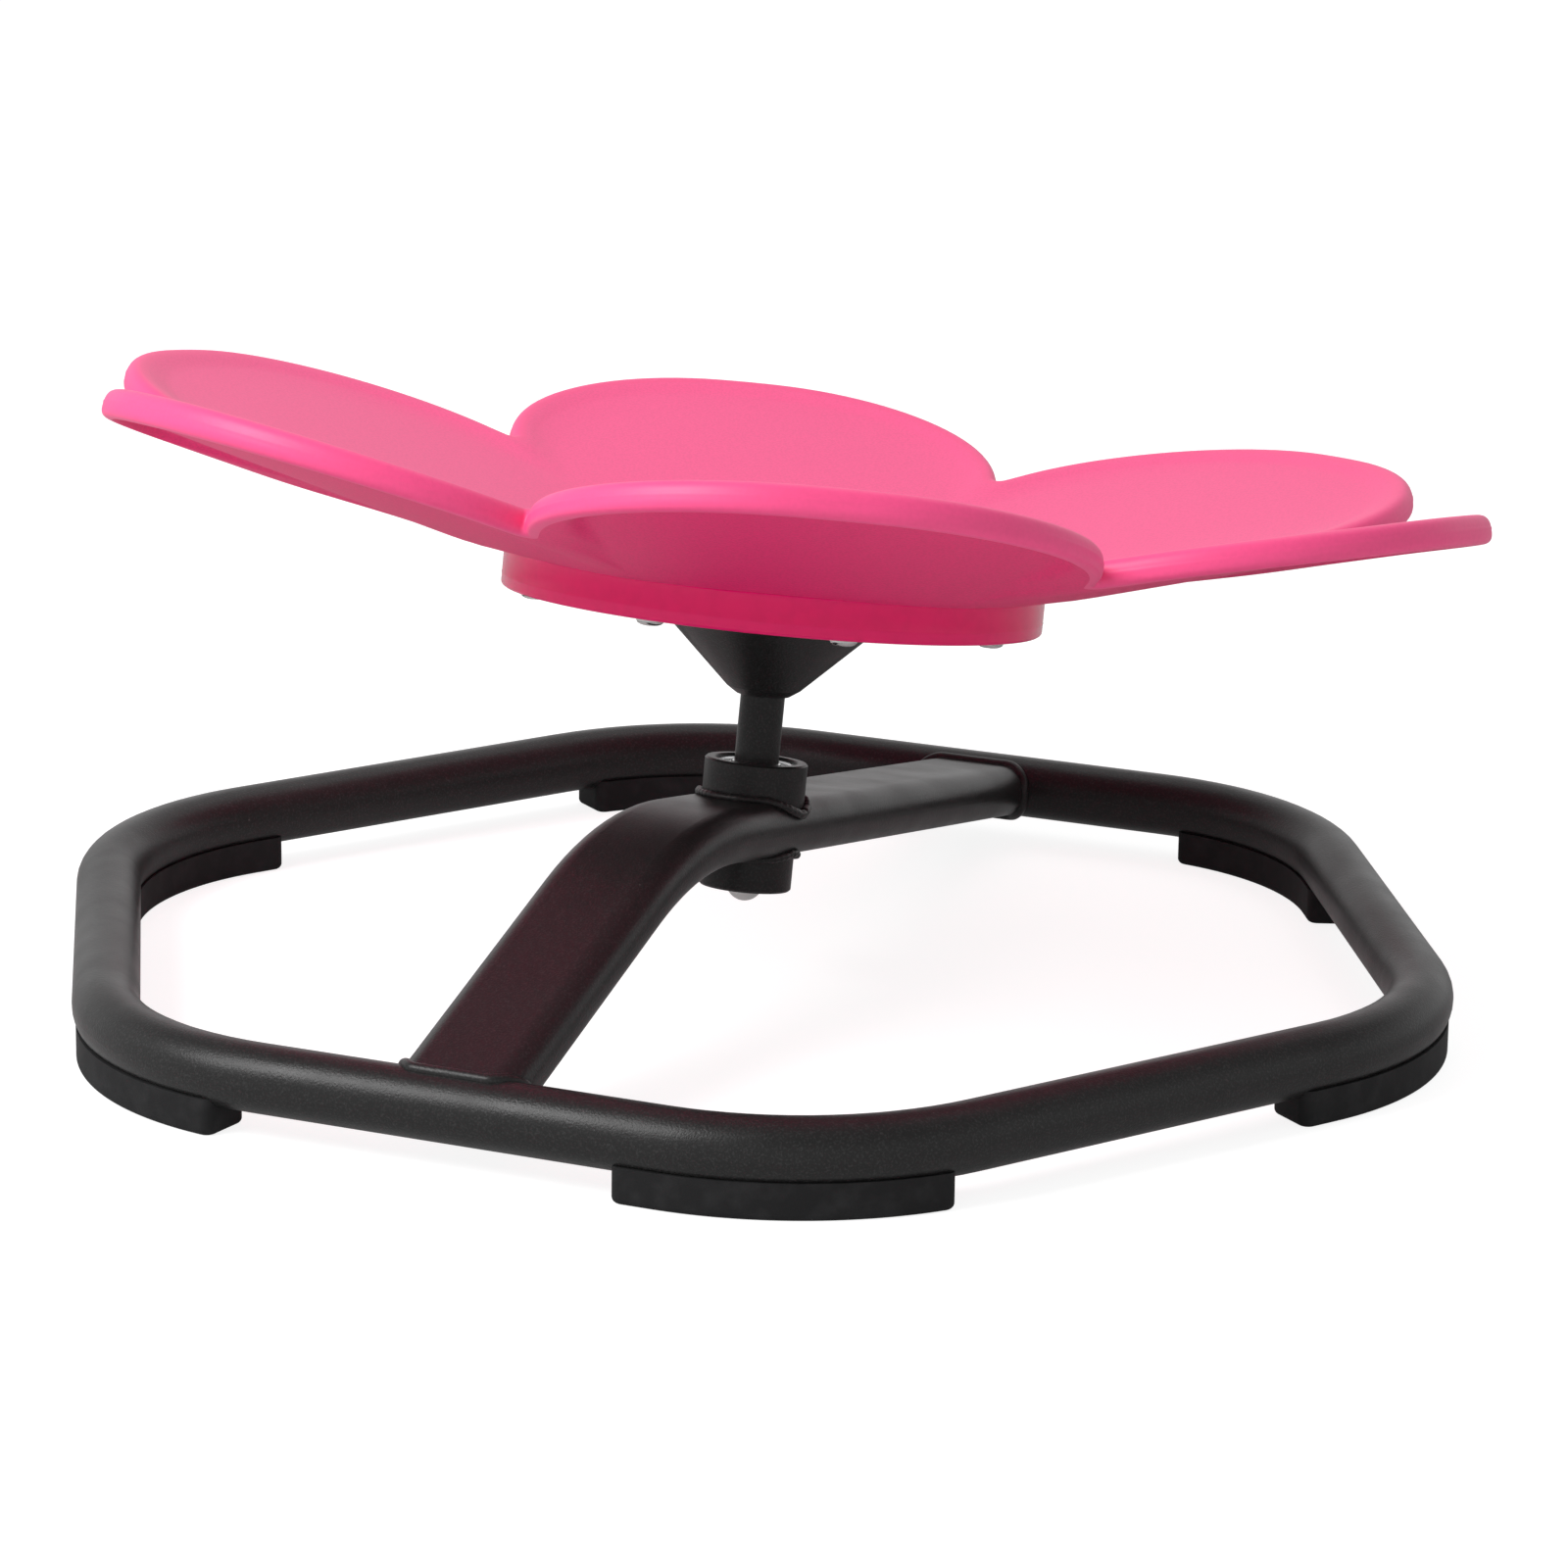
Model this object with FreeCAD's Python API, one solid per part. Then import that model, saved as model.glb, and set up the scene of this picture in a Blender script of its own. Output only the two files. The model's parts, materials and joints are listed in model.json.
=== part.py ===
import FreeCAD, Part
import os
from math import acos, atan2, cos, pi, radians, sin, sqrt, tan

# Sensory swivel chair. Millimetres, floor at z = 0, +X right, +Y back along the crossbar, +Z up.
# The seat, the spindle and the bearings are drawn upright about their own axis and then leaned.
V = FreeCAD.Vector
ORIGIN = V(0, 0, 0)
RIGHT = V(1, 0, 0)
BACK = V(0, 1, 0)
UP = V(0, 0, 1)

# Base ring: a round tube bent to a hexagon with rounded corners
ring_across = 544.0    # across the flats, on the tube's centre line
ring_y = -12.5         # the ring's middle, from the middle of the whole chair
tube_od = 28.0
tube_wall = 2.0
corner_r = 120.0       # bend of each corner, on the centre line
sides = 6

# Rubber feet under the corners
foot_below = 10.0      # rubber between the tube and the floor
foot_height = 15.4
foot_width = 25.0
foot_half_angle = 30.5
foot_shift = -7.2      # every foot sits a little clockwise of its corner
foot_end_r = 5.0
foot_edge_r = 2.5
foot_screw_angle = 18.0
foot_screw_r = 2.4
foot_screw_length = 11.0
foot_head_r = 4.5
foot_head_h = 2.6
foot_sink = 5.0        # depth of the hole that hides each screw head

# Crossbar: a flat-sided oval tube with one bend
bar_width = 53.6
bar_thick = 23.4
bar_edge_r = 11.0
bar_wall = 2.0
bar_front_slope = 19.3
bar_rear_slope = 10.2
bar_bend_r = 180.0
bar_x = -1.8           # the crossbar's middle, from the ring's
bar_rear_aim = -2.0    # the rear run points a little below the middle of the rear tube
bar_top_margin = 0.5   # the front run lands this far inside the top of the front tube

# Spin axis: it crosses the tube's middle plane here and leans back, and a little to the right
axis_y = -7.0
lean_back = 9.05
lean_right = 1.2

# Heights along the spin axis, from the tube's middle plane
housing_bottom = 20.5
housing_top = 75.5
bearing_recess = 1.2   # the upper bearing sits this far below the housing's rim
dome_bottom = 14.5
cone_bottom = 103.4
drum_bottom = 140.5
flat_middle = 160.0    # mid-thickness of the seat's flat middle

# Bearing housing
housing_wall = 4.5     # outside the upper bearing
housing_low_wall = 2.3
housing_lip = 2.5      # inner shoulder that each outer ring rests on
housing_chamfer = 0.8
bore_chamfer = 0.5

# Weld beads
weld_r = 2.6
weld_stations = 40     # rounds that each bead is drawn through
settle_rounds = 4      # repeats that bring a bead's point onto the rounded edge of the crossbar

# Deep-groove ball bearings
bearing_bore_r = 7.5
bearing_r = 17.5
bearing_width = 11.0
ball_r = 2.9765
ball_count = 8
inner_ring_r = 10.35
outer_ring_r = 14.65   # inside of the outer ring's shoulders
race_gap = 0.05        # running fit between ball and race
shield_thick = 0.5
shield_step = 0.75     # ledge in the outer ring that holds the shield
shield_depth = 0.5     # the shield's face below the ring's face
shield_gap = 0.4       # open slit round the inner ring
cage_thick = 1.2
cage_height = 7.8
pocket_gap = 0.1

# Spindle and what clamps it
spindle_r = 9.5
thread_r = 5.0
thread_reach = 11.0
journal_short = 0.6    # the washer clamps the ring and not the spindle's step
spacer_r = 9.8
washer_r = 10.0
washer_thick = 2.0
washer_gap = 0.25
nut_flats = 17.0
nut_hex_h = 8.0
dome_r = 8.0
dome_straight = 2.0
nut_bore_depth = 13.0

# Cone and plate under the seat
cone_top_r = 51.5
cone_nose_r = 11.4
cone_nose_h = 2.9
cone_run = 1.045       # gain in radius for each millimetre of height
cone_wall = 3.0
plate_thick = 3.0
press_gap = 0.01       # between pieces that are pressed, threaded or welded together
drop_in_gap = 0.3      # round the plate in its recess

# Seat: a flat six-sided middle, six flat petals with a rounded rim, and a drum below
petals = 6
petal_turn = 57.1      # direction of the first petal
petal_slope = 16.4
flat_inradius = 123.0
shell_thick = 5.0
petal_bend_r = 60.0
petal_tip = 300.7      # distance of the rim's middle from the axis
petal_half_width = 106.8
petal_tip_flat = 2.434  # radius of the tip's arc, and of the arcs beside it, for each millimetre of half width
petal_side_round = 0.918
rim_r = 5.2
rim_above = 4.8        # top and bottom of the rim from the petal's mid-thickness
rim_below = 7.8
rim_flank = 14.0       # the rim runs out into the petal over this width
notch_margin = 4.4     # the rim's underside has run out this far outside the notches
drum_r = 115.2
drum_wall = 4.5
drum_ledge = 3.4       # the plate rests on this ledge
boss_r = 6.5

# Seat screws
seat_screws = 8
screw_inset = 11.2     # from the drum's outside to the middle of a screw
screw_turn = 40.0
screw_r = 3.0
screw_hole_r = 3.3
screw_length = 14.0
screw_head_r = 5.75
screw_head_h = 3.6
recess_length = 5.6
recess_width = 1.2
recess_depth = 1.8

# Tolerances of the edge searches
tiny = 1e-4
upright_at_least = 0.99

# Worked out from the above
tube_r = tube_od / 2
tube_z = tube_r + foot_below
ring_in = ring_across / 2
step = 360.0 / sides
half_step = radians(step / 2)
corner_out = (ring_in - corner_r) / cos(half_step)
side_run = 2 * (ring_in - corner_r) * tan(half_step)
ring_middle = V(0, ring_y, tube_z)
corner_angles = {
    "front": 300.0,
    "front_left": 240.0,
    "back_left": 180.0,
    "back": 120.0,
    "back_right": 60.0,
    "front_right": 0.0,
}
housing_r = bearing_r + housing_wall
housing_low_r = bearing_r + housing_low_wall
housing_step = (housing_bottom + housing_top) / 2
upper_bearing = housing_top - bearing_recess - bearing_width
nut_top = dome_bottom + dome_r + dome_straight + nut_hex_h
lower_bearing = nut_top + washer_thick
pitch_r = (inner_ring_r + outer_ring_r) / 2
plate_top = drum_bottom + plate_thick
plate_r = drum_r - drum_wall - drop_in_gap
screw_circle = drum_r - screw_inset
flat_under = flat_middle - shell_thick / 2
slope = radians(petal_slope)
petal_step = 360.0 / petals
petal_tip_arc = petal_tip_flat * petal_half_width
petal_side_arc = petal_side_round * petal_half_width
notch_out = petal_half_width / sin(radians(petal_step / 2)) + notch_margin
reach = 2 * petal_tip  # longer than anything it has to cut

lean = FreeCAD.Rotation(BACK, lean_right).multiply(FreeCAD.Rotation(RIGHT, -lean_back))
axis_foot = ring_middle + V(0, axis_y, 0)
spin = FreeCAD.Placement(axis_foot, lean)
spin_axis = lean.multVec(UP)


def polar(radius, angle, z=0.0):
    return V(radius * cos(radians(angle)), radius * sin(radians(angle)), z)


def rod(radius, z0, z1, at=ORIGIN):
    return Part.makeCylinder(radius, z1 - z0, at + V(0, 0, z0), UP)


def turned(points):
    """Turn a closed outline of (radius, height) points about the Z axis."""
    corners = [V(r, 0, z) for r, z in points]
    face = Part.Face(Part.makePolygon(corners + corners[:1]))
    return face.revolve(ORIGIN, UP, 360)


def follow(face, runs):
    """Carry a flat face along straight runs and bends, and join what it sweeps into one solid."""
    swept = []
    for run in runs:
        if len(run) == 1:
            swept.append(face.extrude(run[0]))
            face = face.translated(run[0])
        else:
            swept.append(face.revolve(*run))
            face = face.rotated(*run)
    return swept[0].multiFuse(swept[1:]).removeSplitter()


def arc_edge(centre, radius, a0, a1):
    """An arc in the XY plane from one angle to another, in radians."""
    angles = (a0, (a0 + a1) / 2, a1)
    return Part.Arc(*[centre + V(radius * cos(a), radius * sin(a), 0) for a in angles]).toShape()


def join(shapes):
    return shapes[0].multiFuse(shapes[1:]).removeSplitter()


def leaned(shape):
    out = shape.copy()
    out.Placement = spin.multiply(out.Placement)
    return out


def largest(shape):
    return max(shape.Solids, key=lambda s: s.Volume)


def save(name, shape, solids=1):
    if not shape.isValid() or len(shape.Solids) != solids:
        raise ValueError("%s: valid %s, solids %d" % (name, shape.isValid(), len(shape.Solids)))
    shape.exportStep("parts/%s.step" % name)


# Base ring


def hexagon_tube(radius):
    """The ring's tube, filled, at the ring's own height."""
    start = polar(corner_out, 0) + polar(corner_r, -step / 2)
    face = Part.Face(Part.Wire(Part.makeCircle(radius, start, polar(1, 90 - step / 2))))
    runs = []
    for k in range(sides):
        runs.append((polar(corner_out, k * step), UP, step))
        runs.append((polar(side_run, 90 + step / 2 + k * step),))
    tube = follow(face, runs)
    tube.translate(ring_middle)
    return tube


def hexagon_outline(inradius, radius):
    """A flat hexagon with rounded corners about the Z axis."""
    centre_out = (inradius - radius) / cos(half_step)
    edges = []
    for k in range(sides):
        angle = radians(k * step)
        centre = polar(centre_out, k * step)
        edges.append(arc_edge(centre, radius, angle - half_step, angle + half_step))
        turn_to = polar(centre_out, (k + 1) * step) + polar(radius, (k + 0.5) * step)
        edges.append(Part.makeLine(centre + polar(radius, (k + 0.5) * step), turn_to))
    return Part.Wire(edges)


def foot_screw_points(angle):
    corner = polar(corner_out, angle)
    turns = (foot_shift - foot_screw_angle, foot_shift + foot_screw_angle)
    return [corner + polar(corner_r, angle + turn) + V(0, ring_y, 0) for turn in turns]


def make_foot(angle, tube):
    half = foot_width / 2
    outer = Part.Face(hexagon_outline(ring_in + half, corner_r + half))
    inner = Part.Face(hexagon_outline(ring_in - half, corner_r - half))
    band = outer.cut(inner).extrude(V(0, 0, foot_height))
    corner = polar(corner_out, angle)
    ends = [angle + foot_shift - foot_half_angle, angle + foot_shift + foot_half_angle]
    wedge_points = [corner] + [corner + polar(ring_in, end) for end in ends] + [corner]
    wedge = Part.Face(Part.makePolygon(wedge_points)).extrude(V(0, 0, foot_height))
    foot = largest(band.common(wedge))
    upright = [e for e in foot.Edges if abs(e.tangentAt(e.FirstParameter).z) > upright_at_least]
    ends_of_foot = [e for e in upright if is_end_edge(e, corner, ends)]
    foot = foot.makeFillet(foot_end_r, ends_of_foot)
    low = [e for e in foot.Edges if e.BoundBox.ZMax < tiny]
    foot = foot.makeFillet(foot_edge_r, low)
    foot.translate(V(0, ring_y, 0))
    foot = foot.cut(tube)
    for point in foot_screw_points(angle):
        foot = foot.cut(rod(foot_screw_r + press_gap, 0, foot_height, point))
        foot = foot.cut(rod(foot_head_r + drop_in_gap, 0, foot_sink, point))
    return largest(foot)


def is_end_edge(edge, corner, ends):
    """Whether an upright edge lies on one of the foot's two end planes."""
    away = edge.Vertexes[0].Point - corner
    for end in ends:
        across = polar(1, end + 90)
        if abs(away.x * across.x + away.y * across.y) < tiny:
            return True
    return False


def make_foot_screw(point):
    head = rod(foot_head_r, foot_sink - foot_head_h, foot_sink, point)
    shank = rod(foot_screw_r, foot_sink, foot_sink + foot_screw_length, point)
    return head.fuse(shank).removeSplitter()


# Crossbar and its welds


front_rise = radians(bar_front_slope)
rear_fall = radians(bar_rear_slope)
front_run = V(0, cos(front_rise), sin(front_rise))
front_normal = V(0, -sin(front_rise), cos(front_rise))
rear_run = V(0, cos(rear_fall), -sin(rear_fall))
rear_normal = V(0, sin(rear_fall), cos(rear_fall))
front_tube = ring_middle + V(0, -ring_in, 0)
rear_tube = ring_middle + V(0, ring_in, 0)
bar_front = front_tube + RIGHT * bar_x + front_normal * (tube_r - bar_thick / 2 - bar_top_margin)
bar_rear = rear_tube + RIGHT * bar_x + rear_normal * bar_rear_aim
bar_turn = front_rise + rear_fall
bar_gap = bar_rear - bar_front
bar_knee_at = (bar_gap.y * sin(rear_fall) + bar_gap.z * cos(rear_fall)) / sin(bar_turn)
bar_knee = bar_front + front_run * bar_knee_at
bar_tangent = bar_bend_r * tan(bar_turn / 2)


def bar_section(inset):
    """The crossbar's oval, flat at its front end, inset by the wall or by nothing."""
    half_w = bar_width / 2 - inset
    half_h = bar_thick / 2 - inset
    r = bar_edge_r - inset
    corners = [(1, 1), (-1, 1), (-1, -1), (1, -1)]
    edges = []
    for k, (sx, sy) in enumerate(corners):
        centre = V(sx * (half_w - r), sy * (half_h - r), 0)
        edges.append(arc_edge(centre, r, k * pi / 2, (k + 1) * pi / 2))
        nx, ny = corners[(k + 1) % 4]
        next_centre = V(nx * (half_w - r), ny * (half_h - r), 0)
        out = V(cos((k + 1) * pi / 2), sin((k + 1) * pi / 2), 0) * r
        edges.append(Part.makeLine(centre + out, next_centre + out))
    face = Part.Face(Part.Wire(edges))
    face.Placement = FreeCAD.Placement(bar_front, FreeCAD.Rotation(RIGHT, 90 + bar_front_slope))
    return face


def bar_solid(inset):
    first = bar_knee - front_run * bar_tangent - bar_front
    bend_centre = bar_front + first - front_normal * bar_bend_r
    last = bar_rear - bar_knee - rear_run * bar_tangent
    bend = (bend_centre, RIGHT * -1, bar_front_slope + bar_rear_slope)
    return follow(bar_section(inset), [(first,), bend, (last,)])


def bar_outline():
    """Points round the crossbar's oval, as (sideways, upwards)."""
    round_it = bar_section(0.0).OuterWire.discretize(weld_stations + 1)[:-1]
    return [(point.x - bar_front.x, (point - bar_front).dot(front_normal)) for point in round_it]


def weld_bead(points, cutters):
    """A round bead along a closed line of points, cut back to the pieces that it joins."""
    rounds = []
    for k, point in enumerate(points):
        ahead = points[(k + 1) % len(points)] - points[k - 1]
        rounds.append(Part.Wire(Part.makeCircle(weld_r, point, ahead)))
    bead = Part.makeLoft(rounds, True, False, True)
    for cutter in cutters:
        bead = bead.cut(cutter)
    return largest(bead)


def housing_weld_points(side):
    """Where the housing's wall meets the crossbar's upper (side 1) or lower (side -1) face."""
    flat_w = bar_width / 2 - bar_edge_r
    radius = housing_r if side > 0 else housing_low_r
    points = []
    for k in range(weld_stations):
        foot = spin.multVec(polar(radius, 360.0 * k / weld_stations))
        along = 0.0
        for _ in range(settle_rounds):
            at = foot + spin_axis * along
            past = min(max(abs(at.x - bar_x) - flat_w, 0.0), bar_edge_r)
            level = bar_thick / 2 - bar_edge_r + sqrt(bar_edge_r ** 2 - past ** 2)
            along += (side * level - (at - bar_rear).dot(rear_normal)) / spin_axis.dot(rear_normal)
        points.append(foot + spin_axis * along)
    return points


def end_weld_points(anchor, run, normal, tube_middle):
    """Where the crossbar's oval meets the ring's tube; run points from the tube into the bar."""
    points = []
    start = (anchor - tube_middle).dot(run)
    for x, y in bar_outline():
        lift = (anchor - tube_middle).dot(normal) + y
        out = sqrt(tube_r ** 2 - lift ** 2)
        points.append(anchor + RIGHT * x + normal * y + run * (out - start))
    return points


# Housing, bearings and spindle, upright about their own axis


def make_housing():
    seat = bearing_r + press_gap
    lip = bearing_r - housing_lip
    low_step = lower_bearing + bearing_width
    outer_c = housing_chamfer
    bore_c = bore_chamfer
    return turned([
        (housing_low_r - outer_c, housing_bottom),
        (housing_low_r, housing_bottom + outer_c),
        (housing_low_r, housing_step),
        (housing_r, housing_step),
        (housing_r, housing_top - outer_c),
        (housing_r - outer_c, housing_top),
        (seat + bore_c, housing_top),
        (seat, housing_top - bore_c),
        (seat, upper_bearing),
        (lip, upper_bearing),
        (lip, low_step),
        (seat, low_step),
        (seat, housing_bottom + bore_c),
        (seat + bore_c, housing_bottom),
    ])


def make_bearing(z):
    """One bearing whose lower face is at height z, as a dictionary of its pieces."""
    top = z + bearing_width
    middle = z + bearing_width / 2
    groove = Part.makeTorus(pitch_r, ball_r + race_gap, V(0, 0, middle), UP)
    ledge_r = outer_ring_r + shield_step
    ledge_low = z + shield_depth + shield_thick
    ledge_high = top - shield_depth - shield_thick
    outer = rod(bearing_r, z, top).cut(rod(outer_ring_r, z, top))
    outer = outer.cut(rod(ledge_r, z, ledge_low)).cut(rod(ledge_r, ledge_high, top)).cut(groove)
    inner = rod(inner_ring_r, z, top).cut(rod(bearing_bore_r + press_gap, z, top)).cut(groove)
    slit = inner_ring_r + shield_gap
    shields = []
    for low in (z + shield_depth, ledge_high):
        shield = rod(ledge_r - press_gap, low, low + shield_thick)
        shields.append(shield.cut(rod(slit, low, low + shield_thick)))
    cage_low = middle - cage_height / 2
    cage_high = middle + cage_height / 2
    cage = rod(pitch_r + cage_thick / 2, cage_low, cage_high)
    cage = cage.cut(rod(pitch_r - cage_thick / 2, cage_low, cage_high))
    balls = []
    for k in range(ball_count):
        at = polar(pitch_r, 360.0 * k / ball_count, middle)
        balls.append(Part.makeSphere(ball_r, at))
        cage = cage.cut(Part.makeSphere(ball_r + pocket_gap, at))
    return {
        "outer_ring": outer,
        "inner_ring": inner,
        "balls": Part.makeCompound(balls),
        "cage": cage,
        "shield_bottom": shields[0],
        "shield_top": shields[1],
    }


def make_spindle():
    shoulder = upper_bearing + bearing_width
    journal_end = lower_bearing + journal_short
    thread_end = nut_top - thread_reach
    return turned([
        (0, thread_end),
        (thread_r, thread_end),
        (thread_r, journal_end),
        (bearing_bore_r, journal_end),
        (bearing_bore_r, shoulder),
        (spindle_r, shoulder),
        (spindle_r, plate_top),
        (0, plate_top),
    ])


def make_dome_nut():
    hex_low = nut_top - nut_hex_h
    corner_at = nut_flats / 2 / cos(pi / 6)
    corners = [polar(corner_at, 60 * k, hex_low) for k in range(7)]
    nut = Part.Face(Part.makePolygon(corners)).extrude(V(0, 0, nut_hex_h))
    dome_middle = dome_bottom + dome_r
    nut = join([nut, rod(dome_r, dome_middle, hex_low), Part.makeSphere(dome_r, V(0, 0, dome_middle))])
    return nut.cut(rod(thread_r + press_gap, nut_top - nut_bore_depth, nut_top))


def make_cone():
    skin = cone_wall * sqrt(1 + cone_run ** 2)
    bore = spindle_r + press_gap
    top_in = cone_top_r - skin
    nose_shoulder = cone_bottom + cone_nose_h
    shoulder_r = cone_top_r - cone_run * (drum_bottom - nose_shoulder)
    return turned([
        (bore, cone_bottom),
        (cone_nose_r, cone_bottom),
        (shoulder_r, nose_shoulder),
        (cone_top_r, drum_bottom),
        (top_in, drum_bottom),
        (bore, drum_bottom - (top_in - bore) / cone_run),
    ])


# Seat


def screw_points():
    return [polar(screw_circle, screw_turn + 360.0 * k / seat_screws) for k in range(seat_screws)]


def make_plate():
    plate = rod(plate_r, drum_bottom, plate_top).cut(rod(spindle_r + press_gap, drum_bottom, plate_top))
    for point in screw_points():
        plate = plate.cut(rod(screw_hole_r, drum_bottom, plate_top, point))
    return plate


def make_seat_screw(point):
    """A domed head under the plate, its cross recess, and the shank in the drum's boss."""
    face = drum_bottom - screw_head_h
    dome = (screw_head_r ** 2 + screw_head_h ** 2) / (2 * screw_head_h)
    head = Part.makeSphere(dome, point + V(0, 0, face + dome))
    head = head.common(rod(screw_head_r, face, drum_bottom, point))
    for size in ((recess_length, recess_width), (recess_width, recess_length)):
        low = point + V(-size[0] / 2, -size[1] / 2, face)
        head = head.cut(Part.makeBox(size[0], size[1], recess_depth, low))
    shank = rod(screw_r, drum_bottom, drum_bottom + screw_length, point)
    return head.fuse(shank).removeSplitter()


tip_run = (petal_tip - flat_inradius) / cos(slope)
side_rest = petal_half_width - petal_side_arc
side_end = tip_run - petal_tip_arc + sqrt((petal_tip_arc - petal_side_arc) ** 2 - side_rest ** 2)
tip_middle = V(tip_run - petal_tip_arc, 0, 0)
side_middle = V(side_end, side_rest, 0)
arc_split = atan2(side_rest, side_end - tip_middle.x)
petal_plane = FreeCAD.Placement(V(flat_inradius, 0, flat_middle), FreeCAD.Rotation(BACK, -petal_slope))


def petal_outline():
    """Edge of one petal in its own sloping plane: straight sides and three arcs that flow together."""
    low_middle = V(side_middle.x, -side_middle.y, 0)
    back = -reach / 2
    w = petal_half_width
    return Part.Wire([
        Part.makeLine(V(back, -w, 0), V(side_end, -w, 0)),
        arc_edge(low_middle, petal_side_arc, -pi / 2, -arc_split),
        arc_edge(tip_middle, petal_tip_arc, -arc_split, arc_split),
        arc_edge(side_middle, petal_side_arc, arc_split, pi / 2),
        Part.makeLine(V(side_end, w, 0), V(back, w, 0)),
        Part.makeLine(V(back, w, 0), V(back, -w, 0)),
    ])


def rim_section(at):
    """The rim's rounded bead with flanks that run out into the petal; inwards is +Y."""
    top = rim_above - rim_r
    low = rim_r - rim_below
    tail = (rim_flank, 0.0)

    def touch(centre, sign):
        angle = atan2(tail[1] - centre, tail[0])
        gap = sqrt(tail[0] ** 2 + (tail[1] - centre) ** 2)
        return angle + sign * acos(rim_r / gap)

    def on(centre, angle):
        return at + V(0, rim_r * cos(angle), centre + rim_r * sin(angle))

    high_touch = touch(top, 1)
    low_touch = touch(low, -1)
    tail_point = at + V(0, *tail)
    edges = [
        Part.makeLine(tail_point, on(top, high_touch)),
        Part.Arc(on(top, high_touch), on(top, (high_touch + pi) / 2), on(top, pi)).toShape(),
        Part.makeLine(on(top, pi), on(low, pi)),
        Part.Arc(on(low, pi), on(low, (low_touch - pi) / 2), on(low, low_touch)).toShape(),
        Part.makeLine(on(low, low_touch), tail_point),
    ]
    return Part.Face(Part.Wire(edges))


def rim_floor():
    """All that lies below the rim: a wide cone from the petals' underside at the notches to the tips."""
    notch_along = notch_out * cos(radians(petal_step / 2))
    notch_z = flat_middle + (notch_along - flat_inradius) * tan(slope) - shell_thick / 2
    tip_z = flat_middle + (petal_tip - flat_inradius) * tan(slope) - rim_below
    end_z = tip_z + (tip_z - notch_z) * (reach - petal_tip) / (petal_tip - notch_out)
    start_z = notch_z - (tip_z - notch_z) * notch_out / (petal_tip - notch_out)
    return turned([(0, start_z - reach), (0, start_z), (reach, end_z), (reach, start_z - reach)])


def make_petal():
    half = shell_thick / 2
    bend = petal_bend_r * tan(slope / 2)
    pivot = V(flat_inradius - bend, 0, flat_middle + petal_bend_r)

    def bent(offset):
        """Inner flat end, bend start, bend middle, bend end and outer end of one face."""
        r = petal_bend_r - offset
        turns = [pivot + V(r * sin(a), 0, -r * cos(a)) for a in (0.0, slope / 2, slope)]
        inner = V(-bend, 0, flat_middle + offset)
        outer = turns[2] + V(cos(slope), 0, sin(slope)) * reach
        return inner, turns[0], turns[1], turns[2], outer

    under = bent(-half)
    over = bent(half)
    edges = []
    for side in (under, over):
        edges.append(Part.makeLine(side[0], side[1]))
        edges.append(Part.Arc(*side[1:4]).toShape())
        edges.append(Part.makeLine(side[3], side[4]))
    edges.append(Part.makeLine(under[0], over[0]))
    edges.append(Part.makeLine(under[4], over[4]))
    profile = Part.Face(Part.Wire(Part.__sortEdges__(edges)))
    profile.translate(V(0, -petal_tip, 0))
    sheet = profile.extrude(V(0, 2 * petal_tip, 0))
    mould = Part.Face(petal_outline()).extrude(V(0, 0, reach))
    mould.translate(V(0, 0, -reach / 2))
    mould.Placement = petal_plane.multiply(mould.Placement)
    blade = sheet.common(mould)

    start = V(0, -petal_half_width, 0)
    tip_turn = 2 * arc_split
    side_turn = pi / 2 - arc_split
    low_middle = V(side_middle.x, -side_middle.y, 0)
    rim = follow(rim_section(start), [
        (V(side_end, 0, 0),),
        (low_middle, UP, side_turn * 180 / pi),
        (tip_middle, UP, tip_turn * 180 / pi),
        (side_middle, UP, side_turn * 180 / pi),
        (V(-side_end, 0, 0),),
    ])
    rim.Placement = petal_plane.multiply(rim.Placement)
    rim = rim.cut(rim_floor())

    corners = [ORIGIN, polar(reach, -petal_step / 2), polar(reach, petal_step / 2), ORIGIN]
    sector = Part.Face(Part.makePolygon(corners)).extrude(V(0, 0, reach))
    return largest(join([blade, rim]).common(sector))


def make_seat():
    petal = make_petal()
    shell = []
    for k in range(petals):
        shell.append(petal.rotated(ORIGIN, UP, petal_turn + k * petal_step))
    recess_r = drum_r - drum_wall
    drum = rod(drum_r, drum_bottom, flat_middle).cut(rod(recess_r, drum_bottom, plate_top))
    drum = drum.cut(rod(recess_r - drum_ledge, plate_top, flat_under))
    bosses = [rod(boss_r, plate_top, flat_middle, point) for point in screw_points()]
    seat = join(shell + [drum] + bosses)
    for point in screw_points():
        seat = seat.cut(rod(screw_r + press_gap, plate_top, flat_under, point))
    return largest(seat)


os.makedirs("parts", exist_ok=True)

tube_outer = hexagon_tube(tube_r)
tube_bore = hexagon_tube(tube_r - tube_wall)
base_ring = tube_outer.cut(tube_bore)
foot_screws = []
for corner_name, corner_angle in corner_angles.items():
    save("foot_" + corner_name, make_foot(corner_angle, tube_outer))
    for screw_point in foot_screw_points(corner_angle):
        foot_screws.append(make_foot_screw(screw_point))
        base_ring = base_ring.cut(rod(foot_screw_r + press_gap, 0, tube_z, screw_point))
save("base_ring", base_ring)
save("foot_screws", Part.makeCompound(foot_screws), len(foot_screws))

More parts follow.
